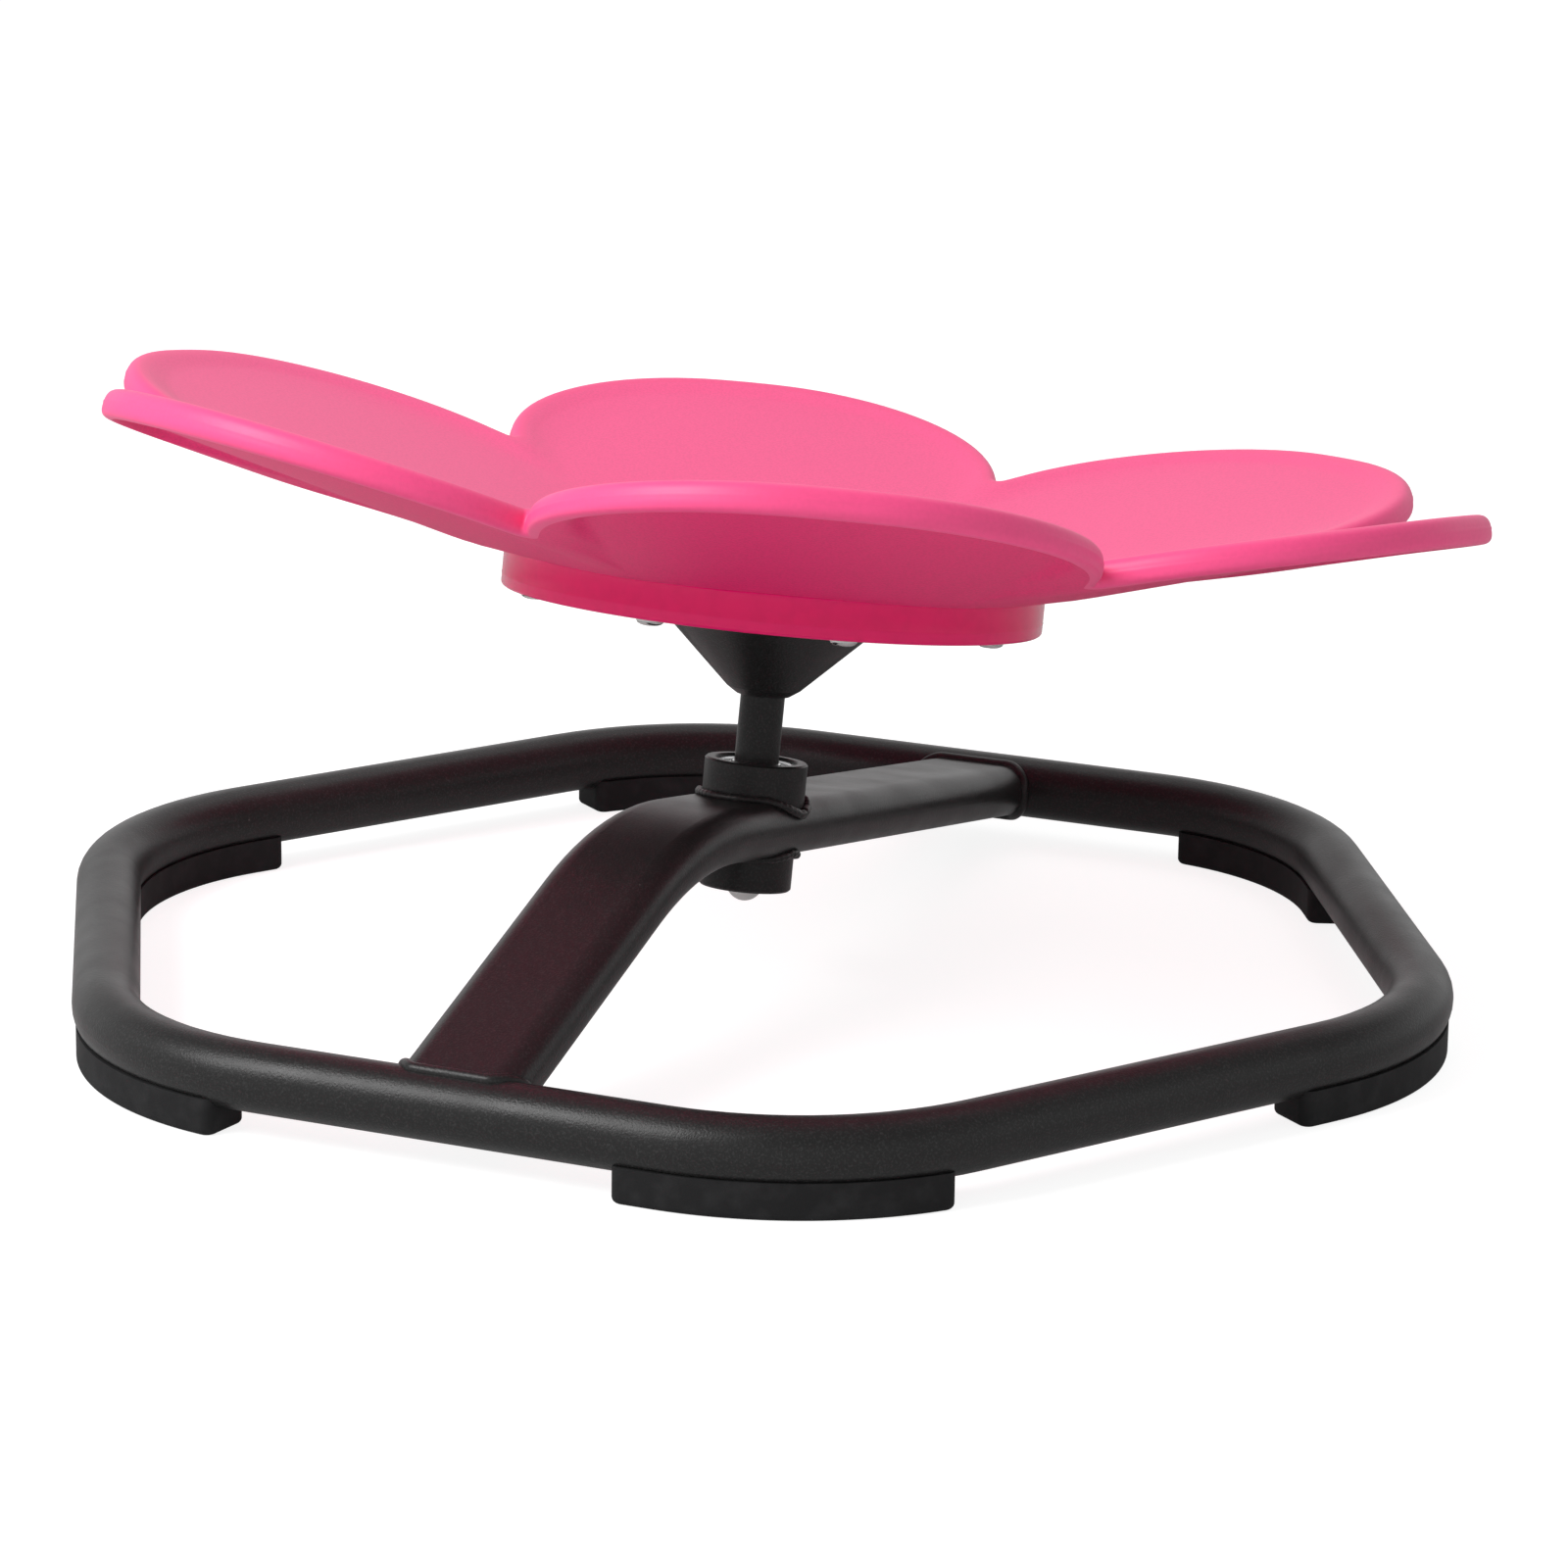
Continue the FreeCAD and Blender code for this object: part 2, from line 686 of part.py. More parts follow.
housing_low = rod(housing_low_r, housing_bottom, housing_step)
housing_body = leaned(join([rod(housing_r, housing_step, housing_top), housing_low]))
bar_outer = bar_solid(0.0)
crossbar = bar_outer.cut(bar_solid(bar_wall)).cut(tube_outer).cut(housing_body)
save("crossbar", largest(crossbar))
save("bearing_housing", leaned(make_housing()))
joined = [bar_outer, housing_body]
save("weld_housing_top", weld_bead(housing_weld_points(1), joined))
save("weld_housing_bottom", weld_bead(housing_weld_points(-1), joined))
welded = [bar_outer, tube_outer]
front_weld = end_weld_points(bar_front, front_run, front_normal, front_tube)
rear_weld = end_weld_points(bar_rear, rear_run * -1, rear_normal, rear_tube)
save("weld_bar_front", weld_bead(front_weld, welded))
save("weld_bar_rear", weld_bead(rear_weld, welded))

for bearing_name, bearing_z in (("upper", upper_bearing), ("lower", lower_bearing)):
    for piece_name, piece in make_bearing(bearing_z).items():
        piece_count = ball_count if piece_name == "balls" else 1
        save("%s_%s" % (bearing_name, piece_name), leaned(piece), piece_count)

spacer_low = lower_bearing + bearing_width
spacer = rod(spacer_r, spacer_low, upper_bearing)
spacer = spacer.cut(rod(bearing_bore_r + press_gap, spacer_low, upper_bearing))
washer = rod(washer_r, nut_top, lower_bearing).cut(rod(thread_r + washer_gap, nut_top, lower_bearing))
save("spindle", leaned(make_spindle()))
save("spacer_sleeve", leaned(spacer))
save("nut_washer", leaned(washer))
save("dome_nut", leaned(make_dome_nut()))
save("support_cone", leaned(make_cone()))
save("seat_plate", leaned(make_plate()))
save("seat_shell", leaned(make_seat()))
screws = [make_seat_screw(point) for point in screw_points()]
save("seat_screws", leaned(Part.makeCompound(screws)), seat_screws)
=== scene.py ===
import json
import math

import bmesh
import bpy
import numpy as np
from bpy.props import FloatProperty, FloatVectorProperty, IntProperty, PointerProperty
from mathutils import Matrix, Vector


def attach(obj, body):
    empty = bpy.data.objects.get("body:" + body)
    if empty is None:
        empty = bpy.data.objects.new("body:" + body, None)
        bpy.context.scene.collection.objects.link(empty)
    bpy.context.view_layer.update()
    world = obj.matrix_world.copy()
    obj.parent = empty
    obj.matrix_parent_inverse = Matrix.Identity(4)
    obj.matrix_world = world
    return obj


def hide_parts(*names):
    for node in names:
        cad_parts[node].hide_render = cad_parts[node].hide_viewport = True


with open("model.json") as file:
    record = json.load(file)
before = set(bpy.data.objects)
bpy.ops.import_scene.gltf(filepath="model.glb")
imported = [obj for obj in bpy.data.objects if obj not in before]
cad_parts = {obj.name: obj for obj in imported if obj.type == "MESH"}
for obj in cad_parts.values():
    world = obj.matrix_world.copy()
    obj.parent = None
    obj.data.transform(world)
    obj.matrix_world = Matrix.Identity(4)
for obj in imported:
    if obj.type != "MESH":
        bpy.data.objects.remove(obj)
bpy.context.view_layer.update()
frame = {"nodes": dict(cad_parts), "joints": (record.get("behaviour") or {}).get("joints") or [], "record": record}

bl_info = {
    "name": "Sensory Swivel Chair",
    "version": (1, 0, 0),
    "blender": (4, 5, 0),
    "location": "View3D > Sidebar > Chair",
    "description": "Dresses the solids of a flower-seat swivel chair: seat, screws, welds, finishes and studio",
    "category": "Object",
}

MM = 0.001
SEED = 7
# Points closer than this are one point
SAME = 0.005 * MM

# The spin axis as the frame gives it, and the seat's own upright axes leaned onto it
SPIN = next(joint for joint in frame["joints"] if joint["name"] == "seat_spin")
AXIS = Vector(SPIN["axis"]).normalized()
LEAN_BACK = math.asin(AXIS.y)
LEAN_RIGHT = math.atan2(AXIS.x, AXIS.z)
LEAN = (
    Matrix.Translation(Vector(SPIN["pos_m"]))
    @ Matrix.Rotation(LEAN_RIGHT, 4, "Y")
    @ Matrix.Rotation(-LEAN_BACK, 4, "X")
)


def linear(hex_code):
    """An sRGB hex colour as linear red, green, blue."""
    out = []
    for k in (1, 3, 5):
        c = int(hex_code[k:k + 2], 16) / 255
        out.append(c / 12.92 if c <= 0.04045 else ((c + 0.055) / 1.055) ** 2.4)
    return tuple(out)


def length(name, description, default_mm):
    return FloatProperty(name=name, description=description, default=default_mm * MM, unit="LENGTH", precision=5)


def angle(name, description, default_degrees):
    return FloatProperty(name=name, description=description, default=math.radians(default_degrees), subtype="ANGLE")


def paint(name, description, hex_code):
    return FloatVectorProperty(
        name=name, description=description, default=linear(hex_code), subtype="COLOR", size=3, min=0.0, max=1.0
    )


class ChairSizes(bpy.types.PropertyGroup):
    """Sizes of the pieces that are drawn here; the rest come from the frame"""

    petals: IntProperty(name="Petals", description="Number of petals", default=6, min=3)
    petal_turn: angle("Petal turn", "Direction of the first petal", 57.1)
    petal_slope: angle("Petal slope", "Rise of each petal", 16.4)
    petal_tip: length("Petal tip", "Axis to the middle of the rim at a tip", 300.5)
    petal_half_width: length("Petal half width", "Middle of a petal to the middle of its rim", 106.8)
    petal_tip_arc: length("Tip arc", "Radius of the outline at the tip", 260.0)
    petal_side_arc: length("Side arc", "Radius of the outline beside the tip", 98.0)
    notch_round: length("Notch round", "Radius of the outline between two petals", 6.4)
    crease_soft: length("Crease softness", "Width over which two petals flow into each other", 3.4)
    petal_cup: FloatProperty(name="Petal cup", description="How far the petals' sides lift into a bowl", default=0.5)
    flat_inradius: length("Flat middle", "Axis to the bend line of a petal", 123.0)
    flat_middle: length("Seat height", "Mid-thickness of the flat middle along the axis", 160.0)
    bend_reach: length("Bend reach", "Half the width of the bend", 9.5)
    shell_thick: length("Shell thickness", "Thickness of the moulding", 5.0)
    rim_r: length("Rim width", "Half the width of the rim's bead", 5.2)
    rim_above: length("Rim above", "Top of the rim above mid-thickness", 4.65)
    rim_below: length("Rim below", "Bottom of the rim below mid-thickness at a tip", 7.8)
    rim_below_notch: length("Rim below at notch", "The same at the notches", 6.6)
    rim_flank: length("Rim flank", "Width over which the bead runs out into the upper face", 15.0)
    pocket_flank: length("Pocket flank", "Width over which the lower lip runs out under a petal", 5.5)
    web_flank: length("Web flank", "The same at the notches, where the lip is filled to a web", 42.0)
    web_near: length("Web", "Length of the full web along the rim from a notch", 38.0)
    web_far: length("Web end", "Distance along the rim at which the pocket is open", 66.0)
    parting_ridge: length("Parting ridge", "Height of the line where the mould halves meet", 0.2)
    drum_r: length("Drum radius", "Outside of the drum", 115.2)
    drum_wall: length("Drum wall", "Wall beside the seat plate", 4.5)
    drum_bottom: length("Drum bottom", "Lower edge of the drum along the axis", 140.5)
    drum_round: length("Drum edge", "Round of the drum's edges", 1.5)
    plate_top: length("Plate top", "Upper face of the seat plate along the axis", 143.5)
    drum_ledge: length("Drum ledge", "Ledge that rests on the plate", 3.4)
    seat_screws: IntProperty(name="Seat screws", description="Number of screws under the drum", default=8, min=1)
    screw_circle: length("Screw circle", "Radius of the screw circle", 104.0)
    screw_turn: angle("Screw turn", "Direction of the first screw", 40.0)
    screw_head_r: length("Screw head radius", "Radius of a pan head", 5.75)
    screw_head_h: length("Screw head height", "Height of a pan head", 3.1)
    screw_r: length("Screw radius", "Radius of a shank", 3.0)
    screw_length: length("Screw length", "Length under the head", 14.0)
    housing_weld_r: length("Housing weld", "Radius of the beads round the bearing housing", 1.8)
    weld_pitch: length("Weld pitch", "Spacing of the ripples along a bead", 3.0)


class ChairFinishes(bpy.types.PropertyGroup):
    """Colours of the finishes"""

    # Painted light: the upper face and the rim are paler than the plastic's own pink, the sheen of light on them
    # painted into their colour
    seat_top_painted_light: paint("Seat, upper face", "Grained face, paler because its grain scatters light", "#F4528C")
    seat_rim_painted_light: paint("Seat, rim", "Smooth rounded rim", "#F44F89")
    seat_under: paint("Seat, underside", "Finely grained face", "#EE2C74")
    seat_drum: paint("Seat, drum", "Polished wall, the plastic's own depth of colour", "#EC1C6E")
    coat: paint("Powder coat", "Frame and spindle", "#212121")
    # Used for the dust specks and for the painted glints of the coat's texture
    coat_dust_and_glint: paint("Powder coat, dust", "Specks in the coat", "#4A4A4A")
    rubber: paint("Rubber", "Feet", "#1B1B1C")
    rubber_dust: paint("Rubber, dust", "Dusty skin of the feet", "#303031")
    zinc: paint("Zinc plate", "Screws and nut", "#D2D3D2")
    bearing: paint("Bearing steel", "Bearing rings and shields", "#D9DAD9")
    paper: paint("Paper", "Floor", "#E8E8E8")


def add(tree, kind, inputs=None, **settings):
    """Add a node, set its properties and fill or link its inputs."""
    node = tree.nodes.new(kind)
    for key, value in settings.items():
        setattr(node, key, value)
    for key, value in (inputs or {}).items():
        socket = node.inputs[key]
        if isinstance(value, bpy.types.NodeSocket):
            tree.links.new(value, socket)
        else:
            socket.default_value = value
    return node


def math_node(tree, operation, *values):
    return add(tree, "ShaderNodeMath", dict(enumerate(values)), operation=operation).outputs["Value"]


def rgba(colour):
    return (colour[0], colour[1], colour[2], 1.0)


def start_material(name):
    """A new material with its shader and the piece's own coordinates in metres."""
    material = bpy.data.materials.new(name)
    material.use_nodes = True
    tree = material.node_tree
    where = add(tree, "ShaderNodeTexCoord").outputs["Object"]
    return material, tree, tree.nodes["Principled BSDF"], where


def noise(tree, where, size_mm, detail=2.0):
    """A cloudy value whose blobs are about that size."""
    texture = add(tree, "ShaderNodeTexNoise", {"Vector": where, "Scale": 1 / (size_mm * MM), "Detail": detail})
    return texture.outputs["Fac"]


def spread(tree, value, source, target):
    """A value taken from one range to another."""
    ends = {"Value": value, "From Min": source[0], "From Max": source[1], "To Min": target[0], "To Max": target[1]}
    return add(tree, "ShaderNodeMapRange", ends).outputs["Result"]


def tint(tree, shader, factor, first, second):
    """Colour the shader between two colours."""
    ends = {"Factor": factor, "A": rgba(first), "B": rgba(second)}
    mix = add(tree, "ShaderNodeMix", ends, data_type="RGBA")
    tree.links.new(mix.outputs["Result"], shader.inputs["Base Color"])


def relief(tree, shader, height, depth_mm, strength):
    """Raise a fine relief on the shader."""
    bump = add(tree, "ShaderNodeBump", {"Height": height, "Strength": strength, "Distance": depth_mm * MM})
    tree.links.new(bump.outputs["Normal"], shader.inputs["Normal"])


def moulded_plastic(name, colour, roughness, grain_mm, grain_depth_mm, hollow_shade, mirror=0.5):
    """Injection-moulded polypropylene: pink all through, with the mould's own grain, whose hollows are darkened by
    painted shade.
    """
    material, tree, shader, where = start_material(name)
    grain = noise(tree, where, grain_mm)
    # Painted shade: the grain's hollows are darkened in colour
    hollows = spread(tree, grain, (0.58, 0.38), (0.0, 1.0))
    tint(tree, shader, hollows, colour, tuple(c * (1 - hollow_shade) for c in colour))
    relief(tree, shader, grain, grain_depth_mm, 0.4)
    shader.inputs["Roughness"].default_value = roughness
    shader.inputs["IOR"].default_value = 1.49
    shader.inputs["Specular IOR Level"].default_value = mirror
    return material


def powder_coat(name):
    """Black polyester powder coat on steel: satin, with a fine texture whose glints are painted into its colour as
    lighter specks, and a few dust specks.
    """
    paints = bpy.context.scene.chair_finishes
    material, tree, shader, where = start_material(name)
    cells = add(tree, "ShaderNodeTexVoronoi", {"Vector": where, "Scale": 1 / (16 * MM)})
    specks = spread(tree, cells.outputs["Distance"], (0.030, 0.018), (0.0, 1.0))
    # The texture is about 0.4 mm across, drawn at 0.9 mm so that it shows at this distance
    texture = noise(tree, where, 0.9)
    # Painted highlight: the texture's peaks are lightened towards the dust colour as glints
    painted_glint = spread(tree, texture, (0.5, 0.8), (0.0, 0.4))
    tint(tree, shader, math_node(tree, "MAXIMUM", specks, painted_glint), paints.coat, paints.coat_dust_and_glint)
    relief(tree, shader, texture, 0.2, 0.6)
    wear = spread(tree, noise(tree, where, 25, 4.0), (0.3, 0.7), (0.32, 0.40))
    tree.links.new(wear, shader.inputs["Roughness"])
    shader.inputs["IOR"].default_value = 1.5
    # The texture's own shadows swallow part of the mirror reflection
    shader.inputs["Specular IOR Level"].default_value = 0.25
    return material


def moulded_rubber(name):
    """Moulded rubber: dull black with a slightly dusty, uneven skin."""
    paints = bpy.context.scene.chair_finishes
    material, tree, shader, where = start_material(name)
    dust = spread(tree, noise(tree, where, 9, 5.0), (0.45, 0.8), (0.0, 0.5))
    tint(tree, shader, dust, paints.rubber, paints.rubber_dust)
    relief(tree, shader, noise(tree, where, 0.8), 0.12, 0.4)
    shader.inputs["Roughness"].default_value = 0.7
    shader.inputs["IOR"].default_value = 1.52
    shader.inputs["Specular IOR Level"].default_value = 0.2
    return material


def bright_metal(name, colour, roughness, cloud_mm):
    """Bright metal whose plating or grinding breaks its reflections into faint clouds."""
    material, tree, shader, where = start_material(name)
    clouds = spread(tree, noise(tree, where, cloud_mm, 3.0), (0.3, 0.7), roughness)
    tree.links.new(clouds, shader.inputs["Roughness"])
    shader.inputs["Base Color"].default_value = rgba(colour)
    shader.inputs["Metallic"].default_value = 1.0
    return material


def finish(kind):
    """The material of that finish, made once."""
    paints = bpy.context.scene.chair_finishes
    makers = {
        # Upper face: satin, with a grain of about 0.4 mm drawn at 1.2 mm so that it shows; its pink is paled by
        # painted sheen
        "polypropylene_grained": lambda name: moulded_plastic(name, paints.seat_top_painted_light, 0.52, 1.2, 0.25, 0.07),
        # Rim: off a smoother mould face, so its bead catches a soft line of light; its pink is paled by the same
        # painted sheen
        "polypropylene_satin": lambda name: moulded_plastic(name, paints.seat_rim_painted_light, 0.48, 2.0, 0.06, 0.03, 0.4),
        # Underside: the same grain, drawn as coarse, on a deeper pink
        "polypropylene_fine_grain": lambda name: moulded_plastic(name, paints.seat_under, 0.52, 1.2, 0.3, 0.12, 0.3),
        # Drum: off a polished mould face, so it mirrors the room in soft strips
        "polypropylene_polished": lambda name: moulded_plastic(name, paints.seat_drum, 0.2, 6.0, 0.03, 0.04, 0.3),
        "powder_coat_black": powder_coat,
        "rubber_black": moulded_rubber,
        "zinc_plate": lambda name: bright_metal(name, paints.zinc, (0.14, 0.28), 1.5),
        "bearing_steel": lambda name: bright_metal(name, paints.bearing, (0.14, 0.28), 2.0),
    }
    return bpy.data.materials.get(kind) or makers[kind](kind)


def new_object(name, data):
    made = bpy.data.objects.new(name, data)
    bpy.context.scene.collection.objects.link(made)
    return made


def mesh_from(name, points, edges, faces):
    mesh = bpy.data.meshes.new(name)
    mesh.from_pydata([tuple(p) for p in points], edges, faces)
    return mesh


def start_tree(name, sizes):
    """A geometry tree that takes a geometry and named sizes, given as name and kind of socket."""
    tree = bpy.data.node_groups.new(name, "GeometryNodeTree")
    tree.interface.new_socket("Geometry", in_out="INPUT", socket_type="NodeSocketGeometry")
    for size, kind in sizes.items():
        tree.interface.new_socket(size, in_out="INPUT", socket_type="NodeSocket" + kind)
    tree.interface.new_socket("Geometry", in_out="OUTPUT", socket_type="NodeSocketGeometry")
    return tree, add(tree, "NodeGroupInput").outputs


def end_tree(tree, geometry, kind, zones=()):
    """Close a tree: real geometry, smooth, with its finish, and other finishes on faces of given zones."""
    real = add(tree, "GeometryNodeRealizeInstances", {"Geometry": geometry})
    last = add(tree, "GeometryNodeSetShadeSmooth", {"Geometry": real.outputs["Geometry"]})
    dress = {"Geometry": last.outputs["Geometry"], "Material": finish(kind)}
    last = add(tree, "GeometryNodeSetMaterial", dress)
    for number, other in zones:
        zone = add(tree, "GeometryNodeInputNamedAttribute", {"Name": "zone"}, data_type="INT")
        match = {"A": zone.outputs["Attribute"], "B": number}
        here = add(tree, "FunctionNodeCompare", match, data_type="INT", operation="EQUAL")
        dress = {
            "Geometry": last.outputs["Geometry"],
            "Selection": here.outputs["Result"],
            "Material": finish(other),
        }
        last = add(tree, "GeometryNodeSetMaterial", dress)
    add(tree, "NodeGroupOutput", {"Geometry": last.outputs["Geometry"]})


def turn_about_z(tree, value):
    return add(tree, "ShaderNodeCombineXYZ", {"Z": value}).outputs["Vector"]


def grow(name, base_mesh, tree, values):
    """Run a tree on a base mesh and return the result as a plain mesh object at the origin."""
    base = new_object(name + "_base", base_mesh)
    modifier = base.modifiers.new("grow", "NODES")
    modifier.node_group = tree
    for item in tree.interface.items_tree:
        if item.in_out == "INPUT" and item.name in values:
            modifier[item.identifier] = values[item.name]
    bpy.context.view_layer.update()
    depsgraph = bpy.context.evaluated_depsgraph_get()
    mesh = bpy.data.meshes.new_from_object(base.evaluated_get(depsgraph), depsgraph=depsgraph)
    bpy.data.objects.remove(base)
    mesh.name = name
    return new_object(name, mesh)


def mend(mesh):
    """Merge doubles, drop faces with no area and point the rest outwards."""
    work = bmesh.new()
    work.from_mesh(mesh)
    bmesh.ops.remove_doubles(work, verts=work.verts, dist=SAME)
    bmesh.ops.dissolve_degenerate(work, edges=work.edges, dist=SAME)
    bmesh.ops.recalc_face_normals(work, faces=work.faces)
    work.to_mesh(mesh)
    work.free()


def smoothstep(low, high, x):
    t = np.clip((x - low) / (high - low), 0.0, 1.0)
    return t * t * (3 - 2 * t)


class SeatRule:
    """The seat's shape as a rule: the height of its mid-thickness anywhere, and the line of its rim."""

    def __init__(self, sizes):
        self.s = sizes
        self.turns = np.arange(sizes.petals) * 2 * math.pi / sizes.petals
        self.half_turn = math.pi / sizes.petals

    def height(self, x, y):
        """A flat middle, and slightly cupped petals that rise past the bend line and flow into each other."""
        s = self.s
        along = np.stack([x * math.cos(a) + y * math.sin(a) for a in self.turns])
        top = along.max(axis=0)
        u = top + s.crease_soft * np.log(np.exp((along - top) / s.crease_soft).sum(axis=0))
        r = np.maximum(np.hypot(x, y), 1.0 * MM)
        aside = np.arccos(np.clip(u / r, 0.0, 1.0)) / self.half_turn
        u = u + s.petal_cup * np.maximum(r - u, 0.0) * aside
        past = np.clip((u - s.flat_inradius) / s.bend_reach, -1.0, 1.0)
        straight = u > s.flat_inradius + s.bend_reach
        rise = np.where(straight, u - s.flat_inradius, s.bend_reach * (past + 1) ** 2 / 4)
        return s.flat_middle + math.tan(s.petal_slope) * rise

    def slope(self, x, y):
        d = 0.2 * MM
        gx = (self.height(x + d, y) - self.height(x - d, y)) / (2 * d)
        gy = (self.height(x, y + d) - self.height(x, y - d)) / (2 * d)
        return gx, gy

    def half_rim(self):
        """Half a petal's rim in plan, from the middle of a notch to the tip."""
        s = self.s
        c = math.cos(s.petal_slope)
        tip_middle = (s.petal_tip - s.flat_inradius) / c - s.petal_tip_arc
        rest = s.petal_half_width - s.petal_side_arc
        side_end = tip_middle + math.sqrt((s.petal_tip_arc - s.petal_side_arc) ** 2 - rest ** 2)
        split = math.atan2(rest, side_end - tip_middle)
        notch_v = s.petal_half_width + s.notch_round
        notch_u = notch_v / math.tan(self.half_turn)

        def in_plan(run, across):
            return np.array([s.flat_inradius + run * c, across])

        points = []
        for k in range(9):
            a = -math.pi / 2 - (math.pi / 2 - self.half_turn) * (1 - k / 8)
            points.append(np.array([notch_u, notch_v]) + s.notch_round * np.array([math.cos(a), math.sin(a)]))
        for t in np.linspace(0, 1, 6)[1:]:
            run = (notch_u - s.flat_inradius) / c * (1 - t) + side_end * t
            points.append(in_plan(run, s.petal_half_width))
        for t in np.concatenate([np.linspace(0, 0.26, 15)[1:], np.linspace(0.3, 1, 17)]):
            a = math.pi / 2 + (split - math.pi / 2) * t
            points.append(in_plan(side_end + s.petal_side_arc * math.cos(a), rest + s.petal_side_arc * math.sin(a)))
        for t in np.linspace(0, 1, 8)[1:]:
            a = split * (1 - t)
            points.append(in_plan(tip_middle + s.petal_tip_arc * math.cos(a), s.petal_tip_arc * math.sin(a)))
        return np.array(points)


TOP, RIM, UNDER, DRUM = range(4)


def seat_sector(s):
    """One petal of the seat with its share of the middle and of the drum, from notch to notch, as a mesh."""
    rule = SeatRule(s)
    half = rule.half_rim()
    line = np.concatenate([half, half[-2::-1] * np.array([1, -1])])
    ahead = np.gradient(line, axis=0)
    ahead[0] = (math.sin(rule.half_turn), -math.cos(rule.half_turn))
    ahead[-1] = (-math.sin(rule.half_turn), -math.cos(rule.half_turn))
    ahead /= np.linalg.norm(ahead, axis=1)[:, None]
    out = np.column_stack([-ahead[:, 1], ahead[:, 0]])
    gx, gy = rule.slope(*line.T)
    normal = np.column_stack([-gx, -gy, np.ones_like(gx)])
    normal /= np.linalg.norm(normal, axis=1)[:, None]
    outward = np.column_stack([out, gx * out[:, 0] + gy * out[:, 1]])
    outward /= np.linalg.norm(outward, axis=1)[:, None]
    on_line = np.column_stack([line, rule.height(*line.T)])
    radius = np.hypot(*line.T)
    gone = np.concatenate([[0.0], np.cumsum(np.linalg.norm(np.diff(line, axis=0), axis=1))])
    from_notch = np.minimum(gone, gone[-1] - gone)
    below = s.rim_below_notch + (s.rim_below - s.rim_below_notch) * smoothstep(0, 0.5 * gone[-1], from_notch)
    half_thick = s.shell_thick / 2

    # The rim's section: round above, squarer below, with a fine parting ridge on its outer face
    belly = -1.4 * MM
    round_above, round_below = 0.85, 0.66
    bead = []
    for degrees in np.concatenate([np.linspace(90, 8, 11), [3, 0, -3], np.linspace(-8, -90, 11)]):
        a = math.radians(degrees)
        power = round_above if degrees > 0 else round_below
        ridge = s.parting_ridge if degrees == 0 else 0.0
        tall = s.rim_above - belly if degrees > 0 else below + belly
        rise = belly + tall * math.copysign(abs(math.sin(a)) ** power, degrees) * np.ones(len(line))
        reach = s.rim_r * abs(math.cos(a)) ** power + ridge
        bead.append(on_line + outward * reach + normal * rise[:, None])

    def face(plan, side, thick):
        """Points of the upper (side 1) or lower (side -1) face, so far from mid-thickness."""
        sx, sy = rule.slope(*plan.T)
        return np.column_stack([plan, rule.height(*plan.T) + side * thick * np.sqrt(1 + sx ** 2 + sy ** 2)])

    def above(gap):
        """The upper face's height at a gap inside the rim: the bead runs out gently."""
        return half_thick + (s.rim_above - half_thick) * (1 - smoothstep(0.0, s.rim_flank, gap))

    def beneath(gap):
        """The same below: a lip round a pocket, which runs out wide towards the notches."""
        flank = s.web_flank + (s.pocket_flank - s.web_flank) * smoothstep(s.web_near, s.web_far, from_notch)
        return half_thick + (below - half_thick) * (1 - smoothstep(0.0, flank, gap))

    def across(start, end, near, rest):
        """Plan points from start to end: first at fixed distances, then by shares of what is left."""
        run = np.linalg.norm(end - start, axis=1)[:, None]
        way = (end - start) / run
        gaps = [np.full_like(run, d) for d in near] + [near[-1] + (run - near[-1]) * t for t in rest]
        # A petal's side lies at half a turn to this way, and so does its neighbour's, right up to the notch
        side = math.sin(rule.half_turn)
        away = np.minimum(
            np.abs((way * out).sum(axis=1)), side + (1 - side) * smoothstep(s.notch_round, s.web_far, from_notch)
        )
        return [(start + way * gap, gap[:, 0] * away) for gap in gaps]

    rings, zones = [], []
    near_top = np.array([0.8, 2.0, 3.6, 5.4, 7.4, 9.6, 12.0, 15.0]) * MM
    shares_top = np.concatenate([np.linspace(0.1, 0.66, 20), np.linspace(0.74, 0.98, 3)])
    top_plans = across(bead[0][:, :2], np.zeros_like(line), near_top, shares_top)
    rings.append(np.column_stack([np.zeros_like(line), np.full(len(line), s.flat_middle + half_thick)]))
    zones.append(TOP)
    for number in reversed(range(len(top_plans))):
        plan, gap = top_plans[number]
        rings.append(face(plan, 1, above(gap)))
        zones.append(RIM if number < 2 else TOP)
    rings.extend(bead)
    zones.extend([RIM] * len(bead))
    drum_way = line / radius[:, None]
    near_low = np.array([0.6, 1.2, 1.9, 2.7, 3.6, 4.6, 5.8, 7.2, 9.0, 11.5, 14.5, 18.0, 22.0, 27.0, 33.0]) * MM
    shares_low = np.concatenate([np.linspace(0.12, 0.7, 8), np.linspace(0.8, 1.0, 5)])
    for plan, gap in across(bead[-1][:, :2], drum_way * (s.drum_r + s.drum_round), near_low, shares_low):
        rings.append(face(plan, -1, beneath(gap)))
        zones.append(UNDER)

